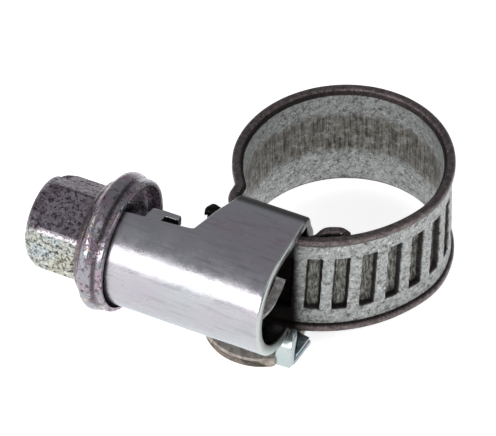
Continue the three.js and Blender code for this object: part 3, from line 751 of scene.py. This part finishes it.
def band_material():
    s = Surface("band_galvanised")
    strip = s.field("strip", "Vector")
    groove, rim, inside, housing_shade = s.field("groove"), s.field("rim"), s.field("inside"), s.field("housing_shade")
    z, crease_shade = s.axis(strip, "Y"), s.axis(strip, "Z")
    swirled = s.add("ShaderNodeVectorMath", {0: s.mm, 1: s.noise(2.5, 4)}, operation="ADD").outputs[0]
    spangle = s.axis(s.cells(4.2, at=swirled), "X")
    colour = s.mix(s.ramp(spangle, 0, 1), (.25, .26, .253), (.48, .50, .49))
    mottle = s.ramp(s.noise(1.6, 8, .8, .4), .42, .6)
    colour = s.mix(s.math("MULTIPLY", mottle, .6), colour, (.43, .452, .443))
    dark = s.ramp(s.noise(2.4, 9, .84, .3, offset=(5, 2, 4)), .505, .58)
    colour = s.mix(s.math("MULTIPLY", dark, .82), colour, (.07, .066, .056))
    sparkle = s.ramp(s.noise(5.5, 6, .78, offset=(2, 6, 4)), .565, .64)
    colour = s.mix(s.math("MULTIPLY", sparkle, .85), colour, (.90, .93, .91))

    marks_at = s.add("ShaderNodeVectorMath", {0: strip, 1: (3.4, .3, 0)}, operation="MULTIPLY").outputs[0]
    marks = s.ramp(s.noise(1.2, 6, .75, .1, at=marks_at), .44, .58)
    wander = s.math("MULTIPLY", s.noise(.9, 5, .7), -1.0)
    track = s.ramp(s.math("ABSOLUTE", s.math("ADD", z, wander)), 1.2, 2.2, 1, 0)
    broken = s.ramp(s.noise(1.5, 6, .75, offset=(4, 4, 1)), .36, .56, .35, 1)
    track = s.math("MULTIPLY", s.math("MULTIPLY", track, inside), broken)
    colour = s.mix(s.math("MULTIPLY", track, .7), colour, (.16, .135, .10))
    colour = s.mix(s.math("MULTIPLY", s.math("MULTIPLY", marks, track), .8), colour, (.03, .026, .022))

    streaks_at = s.add("ShaderNodeVectorMath", {0: strip, 1: (3.2, .8, 0)}, operation="MULTIPLY").outputs[0]
    streaks = s.ramp(s.noise(1.5, 7, .78, .3, at=streaks_at), .42, .62)
    olive = s.mix(streaks, (.035, .03, .022), (.34, .345, .31))
    colour = s.mix(s.math("MULTIPLY", s.ramp(groove, .15, .8), .9), colour, olive)
    # Painted shade: the sides of each pressed groove are painted near black.
    edge = s.math("ADD", s.field("core"), s.math("MULTIPLY", s.noise(3.5, 4, .7), .3))
    wall_shade = s.math("MULTIPLY", s.ramp(groove, .03, .3), s.ramp(edge, .85, 1.12, 1, 0))
    colour = s.mix(s.math("MULTIPLY", wall_shade, .88), colour, (.02, .016, .014))

    brown_at = s.ramp(s.noise(2.6, 6, .7, .2, offset=(3, 3, 3)), .38, .64)
    brown = s.mix(brown_at, (.078, .06, .06), (.185, .15, .142))
    brown = s.mix(s.math("MULTIPLY", s.ramp(s.noise(7, 3, .6), .64, .73), .4), brown, (.32, .29, .28))
    colour = s.mix(s.math("MULTIPLY", s.ramp(rim, .2, .8), .94), colour, brown)
    # Painted shade: the creases beside the rolled edges are painted near black.
    colour = s.mix(s.math("MULTIPLY", crease_shade, .85), colour, (.018, .014, .014))
    # Painted shade: near black where the strip runs through the housing.
    colour = s.mix(s.math("MULTIPLY", housing_shade, .97), colour, (.008, .006, .005))

    rough = s.ramp(s.noise(1.8, 5, .7, offset=(7, 7, 7)), .3, .7, .34, .54)
    rough = s.math("SUBTRACT", rough, s.math("MULTIPLY", rim, .16))
    height = s.math("ADD", s.noise(4.2, 7, .72), s.math("MULTIPLY", spangle, .3))
    rough = s.math("ADD", rough, s.math("MULTIPLY", housing_shade, .4))
    return s.finish(colour, rough, height, .08, metal=.95)


def floor_material():
    s = Surface("studio_floor")
    tone = s.mix(s.noise(.002, 2), (.90, .90, .90), (.93, .93, .93))
    return s.finish(tone, .9, s.noise(.05, 2), .01, metal=0.0,
                    more={"Emission Color": (1.0, 1.0, 1.0), "Emission Strength": .72})


# ---------------------------------------------------------------- assembly

zinc = housing_material()
band_finish = band_material()

shell, fields = threaded_end()
threaded = piece("band_threaded_end", shell, band_finish, **fields)
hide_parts("band_threaded")
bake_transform(threaded)

shell, fields = fixed_end()
fixed = piece("band_fixed_end", shell, band_finish, **fields)
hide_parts("band_loop")
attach(fixed, "clamp_body")

shell, cut, apron, bore = housing_rows()
shell = joined(shell, *small_sheet_parts())
extra = np.zeros(len(shell[0]) - len(cut))
small_x, small_y = shell[0][len(cut):, 0], shell[0][len(cut):, 1]
# Painted highlight: the front faces of the locking ear and the apron's leaves get the light cut-edge colour.
ear_highlight = np.where(np.abs(small_x - EAR_X) < EAR_REACH, 1.0, 0.0) * (small_y < EAR_BACK_Y)
housing = piece("housing_sheet", shell, zinc, cut=np.concatenate([cut, ear_highlight]),
                apron=np.concatenate([apron, extra]), bore=np.concatenate([bore, extra]))
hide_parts("housing")
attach(housing, "clamp_body")

collar = piece("screw_collar_and_core", turned(collar_profile(), OUT_OF_ROUND), collar_material())
thread = piece("screw_thread", thread_shell(), thread_material())
head = piece("screw_hex_head", hex_head(), hex_material(), sharp=50)
cut_slot(head, SLOT_FLOOR, (3, SLOT_WIDTH, 12), SLOT_TURN)
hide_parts("worm_screw")
for part in (collar, thread, head):
    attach(part, "screw")

# ---------------------------------------------------------------- stage

bpy.ops.mesh.primitive_plane_add(size=4, location=(0, 0, cad_low[2] - .0002))
floor = bpy.context.object
floor.name = "studio_floor"
floor.data.materials.append(floor_material())

world = bpy.data.worlds.new("studio")
bpy.context.scene.world = world
world.use_nodes = True
world.node_tree.nodes["Background"].inputs["Color"].default_value = (.33, .325, .35, 1)
world.node_tree.nodes["Background"].inputs["Strength"].default_value = 1.0

TARGET = Vector((0, 0, .005))


def softbox(name, azimuth, elevation, distance, size, power, colour=(1, 1, 1)):
    data = bpy.data.lights.new(name, "AREA")
    data.shape = "RECTANGLE"
    data.size, data.size_y = size
    data.energy = power
    data.color = colour
    lamp = bpy.data.objects.new(name, data)
    a, e = math.radians(azimuth), math.radians(elevation)
    direction = Vector((math.sin(a) * math.cos(e), -math.cos(a) * math.cos(e), math.sin(e)))
    lamp.location = TARGET + direction * distance
    lamp.rotation_euler = direction.to_track_quat("Z", "Y").to_euler()
    bpy.context.collection.objects.link(lamp)


softbox("key", -21, 21, distance=.5, size=(.5, .21), power=1.6, colour=(1.0, .965, .985))
softbox("front", 40, 55, distance=.6, size=(.3, .2), power=.14, colour=(1.0, .99, .97))
softbox("left", -75, 38, distance=.5, size=(.25, .25), power=.26, colour=(.93, .97, 1.0))
softbox("right", 95, 40, distance=.5, size=(.25, .3), power=.26, colour=(1.0, .98, .96))

AZIMUTH, ELEVATION, ROLL = (math.radians(v) for v in (27.3778, 43.6745, -1.1227))
DISTANCE, SHIFT_RIGHT, SHIFT_UP = 361.8, 6.8975, .8704
back = np.array((math.cos(ELEVATION) * math.sin(AZIMUTH), -math.cos(ELEVATION) * math.cos(AZIMUTH),
                 math.sin(ELEVATION)))
flat = np.array((math.cos(AZIMUTH), math.sin(AZIMUTH), 0))
rise = np.cross(back, flat)
right = math.cos(ROLL) * flat + math.sin(ROLL) * rise
up = -math.sin(ROLL) * flat + math.cos(ROLL) * rise
camera_data = bpy.data.cameras.new("camera")
camera_data.sensor_width = 36
camera_data.lens = 363.33
camera_data.clip_start = .01
camera = bpy.data.objects.new("camera", camera_data)
bpy.context.collection.objects.link(camera)
place = to_row(DISTANCE * back - SHIFT_RIGHT * right - SHIFT_UP * up)
axes = np.stack([right, up, back], 1)
camera.matrix_world = Matrix([[*axes[i], place[i]] for i in range(3)] + [[0, 0, 0, 1]])
bpy.context.scene.camera = camera

view = bpy.context.scene.view_settings
view.view_transform = "Standard"
